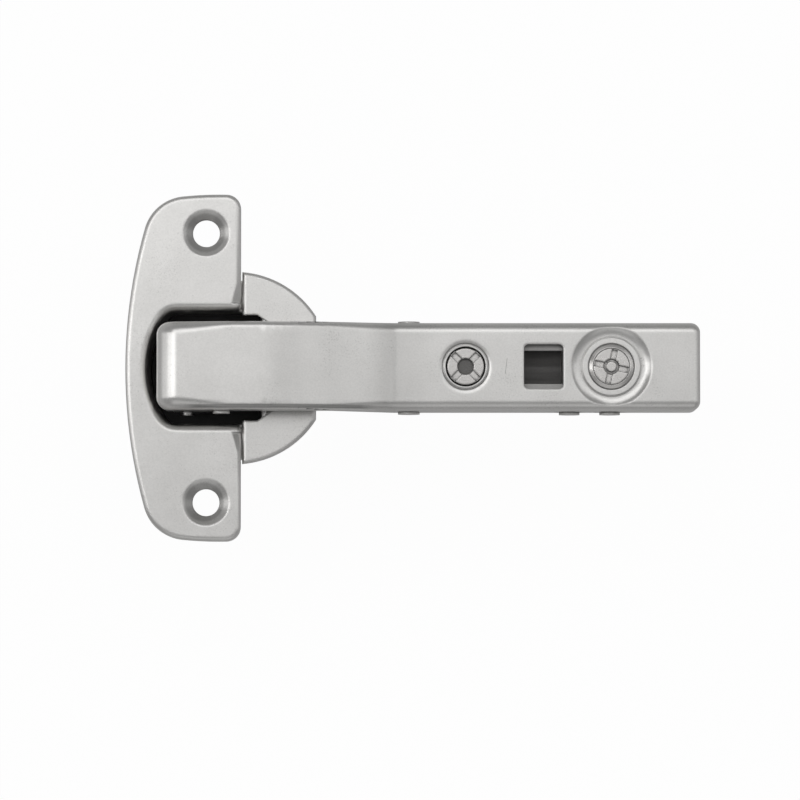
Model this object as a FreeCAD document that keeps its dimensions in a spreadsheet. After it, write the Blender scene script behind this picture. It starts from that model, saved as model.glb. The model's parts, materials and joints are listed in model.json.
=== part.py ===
import FreeCAD, Part
import Sketcher
import math
import os
import re

V = FreeCAD.Vector
across = V(0, 1, 0)
upward = V(0, 0, 1)
touching = 1e-3

# Concealed cabinet cup hinge with a cranked arm, shown closed.
# Origin: middle of the two cup screw holes, on the door face.
# +X runs along the arm, +Z out of the cup's mouth, +Y across.

driving = {
    # Cup drilling pattern and pot
    "cup_offset": 5.5,
    "screw_spacing": 52.0,
    "pot_radius": 17.45,
    "pot_depth": 11.9,
    "pot_sheet": 0.9,
    "pot_bottom_round": 2.0,
    "trough_half": 10.85,
    "trough_reach": 16.75,
    "trough_corner": 3.5,
    "flat_rise": 4.5,
    "flat_inset": 0.25,
    "mouth_round": 1.6,
    # Wing plate
    "wing_height": 1.9,
    "wing_sheet": 1.1,
    "wing_half": 33.75,
    "wing_slope": 1.4,
    "wing_left": 15.6,
    "wing_right": 6.7,
    "wing_side_round": 100.0,
    "wing_end_round": 70.0,
    "wing_outer_corner": 8.5,
    "wing_inner_corner": 2.8,
    "wing_edge_round": 0.9,
    "wing_facet_wide": 1.8,
    "wing_facet_long": 6.6,
    "wing_facet_deep": 0.5,
    "screw_hole_radius": 2.6,
    "sink_radius": 4.5,
    "sink_depth": 1.4,
    "hole_boss_radius": 5.2,
    # Half-moon rim
    "rim_radius": 18.6,
    "rim_height": 1.1,
    "rim_reach": 15.7,
    "rim_gap": 0.25,
    "rim_edge_bevel": 0.5,
    "rim_mouth_half": 10.2,
    "rim_mouth_reach": 4.4,
    "rim_mouth_slope": 3.1,
    "lever_notch_half": 7.9,
    "notch_drop": 4.8,
    # Lever pins, measured along X and Z
    "front_pin_x": -3.8,
    "front_pin_z": -3.4,
    "rear_pin_x": 3.1,
    "rear_pin_z": 5.6,
    "inner_cup_pin_x": 11.5,
    "inner_cup_pin_z": -3.4,
    "outer_cup_pin_x": 15.7,
    "outer_cup_pin_z": -3.5,
    "front_pin_radius": 1.2,
    "rear_pin_radius": 1.1,
    "cup_pin_radius": 1.1,
    "pin_head_radius": 1.65,
    "pin_stand": 0.6,
    "running_gap": 0.05,
    "press_gap": 0.0,
    # Arm
    "arm_half": 8.45,
    "arm_sheet": 1.25,
    "arm_top": 11.4,
    "nose_tip": -9.3,
    "nose_round": 4.2,
    "nose_lip": 2.1,
    "bend_round": 1.8,
    "neck_end": 24.0,
    "crank_start": 17.3,
    "crank_end": 36.1,
    "crank_drop": 5.4,
    "crank_upper_round": 42.0,
    "crank_lower_round": 6.0,
    "end_step": 17.1,
    "end_round": 1.3,
    "end_lip": 3.0,
    "rear_wall": 10.0,
    "neck_floor": 4.2,
    "pin_lobe": 2.9,
    "lobe_round": 2.6,
    "lobe_root_round": 0.8,
    "neck_round": 1.5,
    # Middle rivet and rear pins
    "rivet_step": 3.0,
    "rivet_z": -0.4,
    "rivet_radius": 1.6,
    "rivet_head": 2.1,
    "rivet_stand": 0.5,
    "guide_step": 5.1,
    "latch_step": 7.8,
    "rear_pins_z": -1.6,
    "guide_radius": 1.5,
    "guide_head": 2.0,
    "depth_travel": 1.6,
    "tilt_gap": 0.25,
    # Overlay screw
    "overlay_step": 10.9,
    "overlay_ring_outer": 4.4,
    "overlay_ring_inner": 3.85,
    "ring_groove": 0.22,
    "ring_groove_depth": 0.4,
    "ring_stand": 0.15,
    "overlay_head": 3.65,
    "overlay_head_bevel": 0.25,
    "overlay_head_stand": 0.1,
    "overlay_flange": 4.2,
    "overlay_neck": 1.6,
    "overlay_foot": 2.8,
    "overlay_foot_gap": 0.65,
    "overlay_foot_sheet": 0.9,
    "overlay_flange_gap": 0.6,
    "overlay_dish": 5.25,
    "overlay_dish_depth": 0.3,
    "slot_width": 1.2,
    "slot_reach": 3.4,
    "slot_depth": 0.65,
    "overlay_centre": 1.6,
    "overlay_centre_depth": 1.7,
    # Window
    "window_step": 15.0,
    "window_long": 7.6,
    "window_wide": 8.6,
    "window_corner": 0.9,
    # Depth cam
    "cam_step": 0.1,
    "dish_radius": 7.75,
    "dish_depth": 0.9,
    "cam_ring_outer": 5.75,
    "cam_ring_inner": 4.5,
    "cam_head": 4.3,
    "cam_seat_gap": 0.05,
    "cam_boss_reach": 0.91,
    "cam_ring_stand": 0.7,
    "cam_edge": 0.2,
    "cam_crown": 3.42,
    "cam_crown_stand": 0.15,
    "cam_groove": 0.15,
    "cam_groove_depth": 0.25,
    "cam_shank": 3.6,
    "cam_flange": 5.0,
    "cam_boss": 2.5,
    "cam_throw": 2.0,
    "cross_width": 1.15,
    "cross_reach": 3.3,
    "cross_depth": 0.9,
    "cross_hub": 0.95,
    "cross_centre": 1.5,
    "cross_centre_depth": 1.3,
    "cross_turn": 12.0,
    "cam_flange_sheet": 0.5,
    "cam_flange_gap": 0.1,
    "cam_boss_gap": 0.12,
    # Carrier inside the arm
    "side_gap": 0.2,
    "carrier_sheet": 1.3,
    "carrier_top": 2.8,
    "carrier_lead": 4.1,
    "carrier_tail": 3.1,
    "carrier_foot": 8.0,
    "carrier_arch": 2.0,
    "carrier_floor": -6.2,
    "carrier_slot_half": 1.75,
    "carrier_window_half": 3.2,
    "hook_step": 2.4,
    "hook_radius": 1.6,
    "rear_notch_step": 3.4,
    "rear_notch_radius": 1.4,
    # Latch lever
    "latch_play": 0.5,
    "latch_sheet": 1.4,
    "latch_hub": 2.2,
    "latch_drop": 2.5,
    "latch_step_front": 0.6,
    "latch_step_half": 0.4,
    "latch_lead": 5.5,
    "latch_tail": 0.8,
    "latch_lip": 2.2,
    # Levers
    "lever_play": 0.25,
    "lever_sheet": 1.3,
    "lever_eye": 2.25,
    "lever_bar_half": 1.35,
    "lever_bar_low": 1.1,
    "lever_bar_high": 1.7,
    "web_clear": 1.55,
    "open_slot_half": 1.38,
    "open_slot_wall": 0.75,
    "open_slot_low": 1.12,
    "open_slot_high": 1.98,
    "open_slot_angle": 60.0,
    "open_slot_shift": 0.22,
    # Closing spring and plastic insert
    "spring_play": 0.5,
    "spring_sheet": 0.8,
    "spring_tail": 11.0,
    "spring_rise": 4.0,
    "spring_tip": 1.5,
    "spring_rest": 1.0,
    "spring_miter": 0.6,
    "leaf_seat": 2.0,
    "leaf_bend": 6.4,
    "leaf_drop": 2.5,
    "insert_height": 1.2,
    "insert_rib_reach": 5.0,
    "insert_gap": 0.15,
    "seat_gap": 0.25,
}

# Sizes and places that follow from others
derived = {
    "flat_depth": "pot_depth - flat_rise",
    "outer_lever_half": "arm_half - arm_sheet - lever_play",
    "inner_lever_half": "outer_lever_half - lever_sheet - lever_play",
    "spring_half": "inner_lever_half - lever_sheet - spring_play",
    "latch_half": "arm_half - arm_sheet - side_gap - carrier_sheet - latch_play",
    "rivet_x": "crank_end + rivet_step",
    "overlay_x": "rivet_x + overlay_step",
    "window_x": "overlay_x + window_step",
    "guide_x": "window_x + guide_step",
    "latch_x": "guide_x + latch_step",
    "cam_x": "latch_x + cam_step",
    "arm_end": "cam_x + end_step",
    "carrier_start": "rivet_x + carrier_lead",
    "carrier_end": "arm_end - carrier_tail",
    "hook_x": "carrier_start + hook_step",
    "rear_notch_x": "carrier_end - rear_notch_step",
    "latch_front": "window_x - latch_lead",
    "latch_rear": "arm_end - latch_tail",
}

doc = FreeCAD.newDocument("cup_hinge")
sheet = doc.addObject("Spreadsheet::Sheet", "Sizes")
for row, (alias, value) in enumerate(driving.items(), start=1):
    sheet.set("A%d" % row, alias)
    sheet.set("B%d" % row, str(value))
    sheet.setAlias("B%d" % row, alias)
for row, (alias, formula) in enumerate(derived.items(), start=len(driving) + 1):
    sheet.set("A%d" % row, alias)
    sheet.set("B%d" % row, "=" + formula)
    sheet.setAlias("B%d" % row, alias)
doc.recompute()
sizes = {alias: float(sheet.get(alias)) for alias in list(driving) + list(derived)}


def size(alias):
    return sizes[alias]


def bound(text):
    """Write the sheet's name before each size in an expression."""
    named = lambda word: "Sizes." + word.group() if word.group() in sizes else word.group()
    return re.sub(r"[a-z_]+", named, text)


def tie(item, links):
    for prop, text in links.items():
        item.setExpression(prop, bound(text))
    return item


nodes = []


def keep(item, name):
    """Give a finished piece its node name."""
    item.Label = name
    nodes.append(item)
    return item


# Parametric helpers


def new_body(name, x="0", y="0", z="0"):
    body = doc.addObject("PartDesign::Body", name)
    tie(body, {"Placement.Base.x": x, "Placement.Base.y": y, "Placement.Base.z": z})
    return keep(body, name)


def new_sketch(body, name, role, lift="0", turn=0.0):
    plane = [item for item in body.Origin.OriginFeatures if item.Role == role][0]
    sketch = body.newObject("Sketcher::SketchObject", name)
    sketch.AttachmentSupport = [(plane, "")]
    sketch.MapMode = "FlatFace"
    sketch.AttachmentOffset = FreeCAD.Placement(V(0, 0, 0), FreeCAD.Rotation(V(0, 0, 1), turn))
    tie(sketch, {"AttachmentOffset.Base.z": lift})
    return sketch


def pin_point(sketch, index, position, x, y):
    for kind, text in (("DistanceX", x), ("DistanceY", y)):
        number = sketch.addConstraint(Sketcher.Constraint(kind, -1, 1, index, position, 1.0))
        tie(sketch, {"Constraints[%d]" % number: text})


def add_polygon(sketch, corners):
    """Closed outline whose corners are bound to sizes."""
    first = sketch.GeometryCount
    count = len(corners)
    for index in range(count):
        start = V(10 * math.cos(index), 10 * math.sin(index), 0)
        end = V(10 * math.cos(index + 1), 10 * math.sin(index + 1), 0)
        sketch.addGeometry(Part.LineSegment(start, end), False)
    for index in range(count):
        follower = first + (index + 1) % count
        sketch.addConstraint(Sketcher.Constraint("Coincident", first + index, 2, follower, 1))
    for index, (x, y) in enumerate(corners):
        pin_point(sketch, first + index, 1, x, y)


def add_circle(sketch, x, y, radius):
    index = sketch.addGeometry(Part.Circle(V(1, 1, 0), V(0, 0, 1), 1.0), False)
    pin_point(sketch, index, 3, x, y)
    number = sketch.addConstraint(Sketcher.Constraint("Radius", index, 1.0))
    tie(sketch, {"Constraints[%d]" % number: radius})


def add_pad(body, name, sketch, length, midplane=True):
    pad = body.newObject("PartDesign::Pad", name)
    pad.Profile = sketch
    pad.Midplane = midplane
    tie(pad, {"Length": length})
    doc.recompute()
    return pad


def add_pocket(body, name, sketch, length=None, midplane=True, reverse=False):
    """Cut a pocket, and stop if it removes nothing."""
    before = body.Shape.Volume
    pocket = body.newObject("PartDesign::Pocket", name)
    pocket.Profile = sketch
    pocket.Reversed = reverse
    if length is None:
        pocket.Type = "ThroughAll"
    else:
        tie(pocket, {"Length": length})
    pocket.Midplane = midplane
    doc.recompute()
    if body.Shape.Volume >= before:
        raise RuntimeError(name + " cuts nothing")
    return pocket


def add_turned(body, name, corners):
    """Turn an outline round the body's own Z axis."""
    sketch = new_sketch(body, name + "_outline", "XZ_Plane")
    add_polygon(sketch, corners)
    turned = body.newObject("PartDesign::Revolution", name)
    turned.Profile = sketch
    turned.ReferenceAxis = (sketch, ["V_Axis"])
    turned.Angle = 360.0
    doc.recompute()
    return turned


def cross_pin(name, x, z, radius, half, head=None, stand="0", ends=("left", "right")):
    """Pin along Y with riveted ends, made from cylinders."""
    pieces = []
    shank = doc.addObject("Part::Cylinder", name + "_shank")
    tie(shank, {"Radius": radius, "Height": "2 * (%s)" % half, "Placement.Base.x": x,
                "Placement.Base.y": "-(%s)" % half, "Placement.Base.z": z})
    pieces.append(shank)
    if head:
        starts = {"left": half, "right": "-(%s) - (%s)" % (half, stand)}
        for word in ends:
            start = starts[word]
            cap = doc.addObject("Part::Cylinder", name + "_" + word)
            tie(cap, {"Radius": head, "Height": stand, "Placement.Base.x": x,
                      "Placement.Base.y": start, "Placement.Base.z": z})
            pieces.append(cap)
    for piece in pieces:
        piece.Placement.Rotation = FreeCAD.Rotation(V(1, 0, 0), -90)
    if len(pieces) == 1:
        return keep(shank, name)
    whole = doc.addObject("Part::MultiFuse", name)
    whole.Shapes = pieces
    return keep(whole, name)


# Plain solids for the sheet-metal stampings


def beside(x, z):
    """A test for the edges along Y at one place of the side view."""
    return lambda edge: all(math.hypot(vertex.X - x, vertex.Z - z) < touching for vertex in edge.Vertexes)


def slab(points, half):
    """Side view outline in X and Z, as wide as twice half."""
    corners = [V(x, -half, z) for x, z in points]
    return Part.Face(Part.makePolygon(corners + corners[:1])).extrude(across * (2 * half))


def plate(points, low, high):
    """Plan outline in X and Y between two heights."""
    corners = [V(x, y, low) for x, y in points]
    return Part.Face(Part.makePolygon(corners + corners[:1])).extrude(upward * (high - low))


def box(low, high):
    return Part.makeBox(high[0] - low[0], high[1] - low[1], high[2] - low[2], V(*low))


def post(radius, x, y, low, high):
    return Part.makeCylinder(radius, high - low, V(x, y, low), upward)


def cross_bore(radius, x, z, half):
    return Part.makeCylinder(radius, 2 * half, V(x, -half, z), across)


def round_edges(shape, radius, wanted):
    edges = [edge for edge in shape.Edges if wanted(edge)]
    return shape.makeFillet(radius, edges)


def upright(edge):
    tangent = edge.tangentAt(edge.FirstParameter)
    return abs(tangent.z) > 0.999 and edge.Curve.TypeId == "Part::GeomLine"


def at_height(edge, height):
    return all(abs(vertex.Z - height) < touching for vertex in edge.Vertexes)


def store(shape, name):
    item = doc.addObject("Part::Feature", name)
    item.Shape = shape
    return keep(item, name)


# Cup: one drawn stamping with pot, wing plate and half-moon rim


def wing_outline(inset):
    """Wing plate outline in plan, drawn inwards by inset."""
    left = -size("wing_left") + inset
    right = size("wing_right") - inset
    high = size("wing_half") - inset
    shoulder = high - size("wing_slope")
    bulge = size("wing_side_round") - math.sqrt(size("wing_side_round") ** 2 - shoulder ** 2)
    corner = V(left + bulge, shoulder, 0)
    far = V(right, high - size("wing_slope") / 4, 0)
    chord = far - corner
    rise = size("wing_end_round") - math.sqrt(size("wing_end_round") ** 2 - (chord.Length / 2) ** 2)
    crest = corner + chord * 0.5 + V(-chord.y, chord.x, 0).normalize() * rise
    flip = [V(point.x, -point.y, 0) for point in (corner, crest, far)]
    edges = [
        Part.Arc(corner, V(left, 0, 0), flip[0]).toShape(),
        Part.Arc(flip[0], flip[1], flip[2]).toShape(),
        Part.LineSegment(flip[2], far).toShape(),
        Part.Arc(far, crest, corner).toShape(),
    ]
    return Part.Face(Part.Wire(edges))


def mouth_trough(low, high):
    """Straight-sided mouth of the pot, rounded at the nose side."""
    centre = size("cup_offset")
    radius = size("trough_reach")
    half = size("trough_half")
    trough = post(radius, centre, 0, low, high)
    trough = trough.common(box((centre - radius, -half, low), (centre + radius, half, high)))
    at_left = lambda edge: upright(edge) and edge.Vertexes[0].X < centre
    return round_edges(trough, size("trough_corner"), at_left)


def wing_facet(side):
    """Slanted flat where the wing's right edge dips towards the rim."""
    near = size("trough_half") + size("mouth_round")
    far = near + size("wing_facet_long")
    right = size("wing_right")
    top = size("wing_height")
    reach = size("wing_height")
    tip = V(right, side * far, top)
    inner = V(right - size("wing_facet_wide"), side * near, top)
    low = V(right, side * near, top - size("wing_facet_deep") - size("wing_edge_round"))
    normal = (inner - tip).cross(low - tip).normalize()
    if normal.z < 0:
        normal = -normal
    back = V(0, side * reach, 0)
    corners = [tip, inner, inner - back, low - back, low]
    corners = [point - normal * (point - tip).dot(normal) for point in corners]
    block = Part.Face(Part.makePolygon(corners + corners[:1])).extrude(normal * reach)
    keep_out = box((right - reach * 2, min(0, side * near), -1),
                   (right + 1, max(0, side * near), top + reach))
    return block.cut(keep_out)


def wing_plate():
    """Pressed wing plate with turned-down edges, hollow below."""
    height = size("wing_height")
    half = size("trough_half")
    right = size("wing_right")
    wing = wing_outline(0).extrude(upward * height)
    outer = size("wing_outer_corner")
    middle = size("cup_offset") - size("wing_right")
    wing = round_edges(wing, outer, lambda edge: upright(edge) and edge.Vertexes[0].X < middle)
    inner = size("wing_inner_corner")
    wing = round_edges(wing, inner, lambda edge: upright(edge) and edge.Vertexes[0].X > right - 0.1)
    wing = wing.cut(mouth_trough(-1, height + 1))
    in_mouth = lambda edge: all(abs(vertex.Y) < half + touching for vertex in edge.Vertexes)
    wing = round_edges(wing, size("mouth_round"), lambda edge: at_height(edge, height) and in_mouth(edge))
    at_right = lambda edge: all(abs(vertex.X - right) < touching < vertex.Z for vertex in edge.Vertexes)
    rolled = lambda edge: at_right(edge) and edge.Curve.TypeId == "Part::GeomCircle"
    wide = half + size("mouth_round") - touching
    left = size("cup_offset") - size("pot_radius") - 2 * size("mouth_round")
    rim = lambda edge: at_height(edge, height) and (
        all(abs(vertex.Y) > wide for vertex in edge.Vertexes)
        or all(vertex.X < left for vertex in edge.Vertexes))
    wing = round_edges(wing, size("wing_edge_round"), lambda edge: rim(edge) or rolled(edge))
    for side in (1, -1):
        wing = wing.cut(wing_facet(side))
    hollow = wing_outline(size("wing_sheet")).extrude(upward * (height - size("wing_sheet")))
    reach = outer - size("wing_sheet")
    hollow = round_edges(hollow, reach, lambda edge: upright(edge) and edge.Vertexes[0].X < middle)
    kept = post(size("pot_radius") + size("pot_sheet"), size("cup_offset"), 0, 0, height)
    for side in (1, -1):
        kept = kept.fuse(post(size("hole_boss_radius"), 0, side * size("screw_spacing") / 2, 0, height))
    wing = wing.cut(hollow.cut(kept))
    for side in (1, -1):
        y = side * size("screw_spacing") / 2
        wing = wing.cut(post(size("screw_hole_radius"), 0, y, -1, height + 1))
        sink = Part.makeCone(size("screw_hole_radius"), size("sink_radius"), size("sink_depth"),
                             V(0, y, height - size("sink_depth")), upward)
        wing = wing.cut(sink)
    return wing


def half_moon():
    """Rim that covers the drilling beside the arm."""
    centre = size("cup_offset")
    height = size("rim_height")
    moon = post(size("rim_radius"), centre, 0, 0, height)
    start = size("wing_right") + size("rim_gap")
    reach = size("rim_radius") + 1
    moon = moon.common(box((start, -reach, 0), (centre + size("rim_reach"), reach, height)))
    top_edges = [edge for edge in moon.Edges if at_height(edge, height)]
    moon = moon.makeChamfer(size("rim_edge_bevel"), top_edges)
    half = size("rim_mouth_half")
    notch = size("lever_notch_half")
    straight = centre + size("rim_mouth_reach")
    far = centre + size("rim_radius") + 1
    slope = size("rim_mouth_slope")
    mouth = [(start - 1, -half), (straight, -half), (straight + slope, -notch), (far, -notch),
             (far, notch), (straight + slope, notch), (straight, half), (start - 1, half)]
    return moon.cut(plate(mouth, -1, height + 1))


def pot_shell():
    """Round pot with flats pressed in for the lever pins."""
    centre = size("cup_offset")
    radius = size("pot_radius")
    depth = size("pot_depth")
    wall = size("pot_sheet")
    flats = size("flat_depth")
    pot = post(radius, centre, 0, -depth, -flats)
    pot = round_edges(pot, size("pot_bottom_round"), lambda edge: at_height(edge, -depth))
    pot = pot.fuse(post(radius - size("flat_inset"), centre, 0, -flats, 0))
    reach = radius + 1
    outside = size("trough_half") + wall
    for side in (1, -1):
        low, high = sorted((side * outside, side * reach))
        pot = pot.cut(box((centre - reach, low, -flats), (centre + reach, high, 1)))
    return pot


def pot_cavity():
    """Space inside the pot: a straight trough over a round floor."""
    centre = size("cup_offset")
    radius = size("pot_radius") - size("pot_sheet")
    floor = -size("pot_depth") + size("pot_sheet")
    shoulder = -size("flat_depth") - size("pot_sheet")
    inner_round = size("pot_bottom_round") - size("pot_sheet")
    lower = post(radius, centre, 0, floor + inner_round, shoulder)
    taper = Part.makeCone(radius - inner_round, radius, inner_round, V(centre, 0, floor), upward)
    lower = lower.fuse(taper)
    return lower.fuse(mouth_trough(shoulder, 1))


def hinge_cup():
    centre = size("cup_offset")
    height = size("wing_height")
    cup = pot_shell().cut(pot_cavity())
    cup = cup.fuse([wing_plate(), half_moon()])
    notch = size("lever_notch_half")
    cup = cup.cut(box((centre + size("trough_half"), -notch, -size("notch_drop")),
                      (centre + size("rim_radius") + 1, notch, height)))
    gap = size("press_gap")
    reach = size("pot_radius")
    for word in ("inner_cup_pin", "outer_cup_pin"):
        cup = cup.cut(cross_bore(size("cup_pin_radius") + gap, size(word + "_x"), size(word + "_z"), reach))
    return cup.removeSplitter()


store(hinge_cup(), "hinge_cup")


# Arm: one stamping, bent to a channel with nose, crank and end lip


def arm_top_line(inset):
    """Upper side line of the arm from nose to end, drawn inwards by inset."""
    reach = size("rear_wall") * 2
    points = [
        (size("nose_tip"), size("arm_top") - reach),
        (size("nose_tip"), size("arm_top")),
        (size("crank_start"), size("arm_top")),
        (size("crank_end"), size("arm_top") - size("crank_drop")),
        (size("arm_end"), size("arm_top") - size("crank_drop")),
        (size("arm_end"), size("arm_top") - reach),
    ]
    lines = []
    for (x1, z1), (x2, z2) in zip(points, points[1:]):
        run = math.hypot(x2 - x1, z2 - z1)
        shift = ((z2 - z1) / run * inset, -(x2 - x1) / run * inset)
        lines.append(((x1 + shift[0], z1 + shift[1]), (x2 + shift[0], z2 + shift[1])))
    moved = [lines[0][0]]
    for (p1, p2), (q1, q2) in zip(lines, lines[1:]):
        ux, uz = p2[0] - p1[0], p2[1] - p1[1]
        vx, vz = q2[0] - q1[0], q2[1] - q1[1]
        share = ((q1[0] - p1[0]) * vz - (q1[1] - p1[1]) * vx) / (ux * vz - uz * vx)
        moved.append((p1[0] + ux * share, p1[1] + uz * share))
    moved.append(lines[-1][1])
    return moved


def arm_block(inset):
    """Outside of the arm, or its inside when inset is the sheet."""
    points = arm_top_line(inset)
    half = size("arm_half") - inset
    block = slab(points, half)
    rounds = (
        (points[1], size("nose_round") - inset),
        (points[2], size("crank_upper_round") - inset),
        (points[3], size("crank_lower_round") + inset),
        (points[4], max(size("end_round") - inset, inset / 4)),
    )
    for (x, z), radius in rounds:
        near = beside(x, z)
        block = round_edges(block, radius, near)
    low = points[0][1] + 1
    side = lambda edge: all(abs(abs(vertex.Y) - half) < touching for vertex in edge.Vertexes) and max(
        vertex.Z for vertex in edge.Vertexes) > low
    return round_edges(block, max(size("bend_round") - inset, inset / 3), side)


def below_arm():
    """Everything under the lower edge of the side walls."""
    lobe = size("pin_lobe")
    front_x, front_z = size("front_pin_x"), size("front_pin_z")
    rear_x = size("rear_pin_x")
    neck = size("neck_floor")
    rear_top = size("arm_top") - size("crank_drop")
    rear_floor = rear_top - size("rear_wall")
    low = rear_floor - size("rear_wall") * 3
    nose = size("nose_tip")
    line = [
        (nose - 1, low),
        (nose - 1, size("nose_lip")),
        (front_x - lobe, size("nose_lip")),
        (front_x - lobe, front_z - lobe),
        (front_x + lobe, front_z - lobe),
        (front_x + 2 * lobe, neck - lobe),
        (rear_x + 2 * lobe, neck),
        (size("neck_end"), neck),
        (size("crank_end"), rear_floor),
        (size("arm_end") + 1, rear_floor),
        (size("arm_end") + 1, low),
    ]
    cut = slab(line, size("arm_half") + 1)
    corners = (
        (front_x - lobe, front_z - lobe, size("lobe_round")),
        (front_x + lobe, front_z - lobe, size("lobe_round")),
        (front_x - lobe, size("nose_lip"), size("lobe_root_round")),
        (front_x + 2 * lobe, neck - lobe, size("neck_round")),
    )
    for x, z, radius in corners:
        near = beside(x, z)
        cut = round_edges(cut, radius, near)
    return cut


def long_hole(x, z, radius, travel, lift, half):
    """Cross slot for a pin that moves along the arm."""
    body = box((x - travel, -half, z - radius - lift), (x + travel, half, z + radius + lift))
    for end in (x - travel, x + travel):
        body = body.fuse(cross_bore(radius + lift, end, z, half))
    return body


def hinge_arm():
    top = size("arm_top") - size("crank_drop")
    half = size("arm_half") + 2
    sheet_in = size("arm_sheet")
    outer = arm_block(0)
    inner = arm_block(sheet_in)
    # Stamped dish under the depth cam
    dish = size("dish_radius")
    floor = post(dish, size("cam_x"), 0, top - size("dish_depth") - sheet_in, top - size("dish_depth"))
    side = size("arm_half") - sheet_in
    floor = floor.common(box((size("cam_x") - dish, -side, 0), (size("cam_x") + dish, side, top)))
    arm = outer.cut(inner)
    arm = arm.fuse(floor)
    cone = Part.makeCone(dish - size("dish_depth"), dish, size("dish_depth"),
                         V(size("cam_x"), 0, top - size("dish_depth")), upward)
    arm = arm.cut(cone)
    arm = arm.cut(below_arm())
    # Bores for the lever pins and the middle rivet
    for word in ("front_pin", "rear_pin", "rivet"):
        wall = size(word + "_radius") + size("press_gap")
        arm = arm.cut(cross_bore(wall, size(word + "_x"), size(word + "_z"), half))
    # Slots that let the arm slide on the rear pins
    for word, lift in (("guide_x", size("running_gap")), ("latch_x", size("tilt_gap"))):
        slot = long_hole(size(word), size("rear_pins_z"), size("guide_radius"),
                         size("depth_travel"), lift, half)
        arm = arm.cut(slot)
    # Openings in the top
    high = top + 1
    low = top - size("dish_depth") - sheet_in - 1
    arm = arm.cut(post(size("overlay_ring_outer"), size("overlay_x"), 0, low, high))
    ring = Part.makeCone(size("overlay_ring_outer"), size("overlay_dish"), size("overlay_dish_depth"),
                         V(size("overlay_x"), 0, top - size("overlay_dish_depth")), upward)
    arm = arm.cut(ring)
    arm = arm.cut(post(size("cam_shank") + size("running_gap"), size("cam_x"), 0, low, high))
    window = box((size("window_x") - size("window_long") / 2, -size("window_wide") / 2, low),
                 (size("window_x") + size("window_long") / 2, size("window_wide") / 2, high))
    window = round_edges(window, size("window_corner"), upright)
    arm = arm.cut(window)
    # End wall is only a short lip
    end = size("arm_end")
    lip = box((end - 2 * sheet_in, -side + touching, low - size("rear_wall")),
              (end + 1, side - touching, top - size("end_lip")))
    return arm.cut(lip).removeSplitter()


store(hinge_arm(), "hinge_arm")


# Lever pins, riveted in the arm walls and in the cup's flats

cross_pin("arm_pin_front", "front_pin_x", "front_pin_z", "front_pin_radius", "arm_half + pin_stand")
cross_pin("arm_pin_rear", "rear_pin_x", "rear_pin_z", "rear_pin_radius", "arm_half",
          "pin_head_radius", "pin_stand", ("right",))
cross_pin("middle_rivet", "rivet_x", "rivet_z", "rivet_radius", "arm_half", "rivet_head", "rivet_stand")
for word in ("inner", "outer"):
    cross_pin("cup_pin_" + word, word + "_cup_pin_x", word + "_cup_pin_z", "cup_pin_radius",
              "trough_half + pot_sheet")
for word in ("guide", "latch"):
    cross_pin(word + "_pin", word + "_x", "rear_pins_z", "guide_radius",
              "arm_half + running_gap", "guide_head", "rivet_stand", ("right",))


# Levers between arm and cup


def lever_bar(start, end, eye, bar, half):
    """Two round eyes joined by a straight bar."""
    (x1, z1), (x2, z2) = start, end
    run = math.hypot(x2 - x1, z2 - z1)
    nx, nz = -(z2 - z1) / run * bar, (x2 - x1) / run * bar
    lever = slab([(x1 + nx, z1 + nz), (x2 + nx, z2 + nz), (x2 - nx, z2 - nz), (x1 - nx, z1 - nz)], half)
    for x, z in (start, end):
        lever = lever.fuse(cross_bore(eye, x, z, half))
    return lever


def inner_lever():
    """Lower lever: two plates, a lower web and a round cam on the cup pin."""
    start = (size("front_pin_x"), size("front_pin_z"))
    end = (size("inner_cup_pin_x"), size("inner_cup_pin_z"))
    half = size("inner_lever_half")
    sheet_in = size("lever_sheet")
    lever = lever_bar(start, end, size("lever_eye"), size("lever_bar_half"), half)
    web_low = start[1] - size("lever_bar_half")
    eye = size("lever_eye")
    hollow = box((start[0] - eye - 1, sheet_in - half, web_low + sheet_in),
                 (end[0] - eye, half - sheet_in, start[1] + eye + 1))
    hollow = hollow.fuse(box((start[0] - eye - 1, sheet_in - half, start[1] - eye - 1),
                             (start[0] + eye + 1, half - sheet_in, start[1] + eye)))
    lever = lever.cut(hollow)
    gap = size("running_gap")
    lever = lever.cut(cross_bore(size("front_pin_radius") + gap, start[0], start[1], half + 1))
    return lever.cut(cross_bore(size("cup_pin_radius") + gap, end[0], end[1], half + 1)).removeSplitter()


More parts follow.
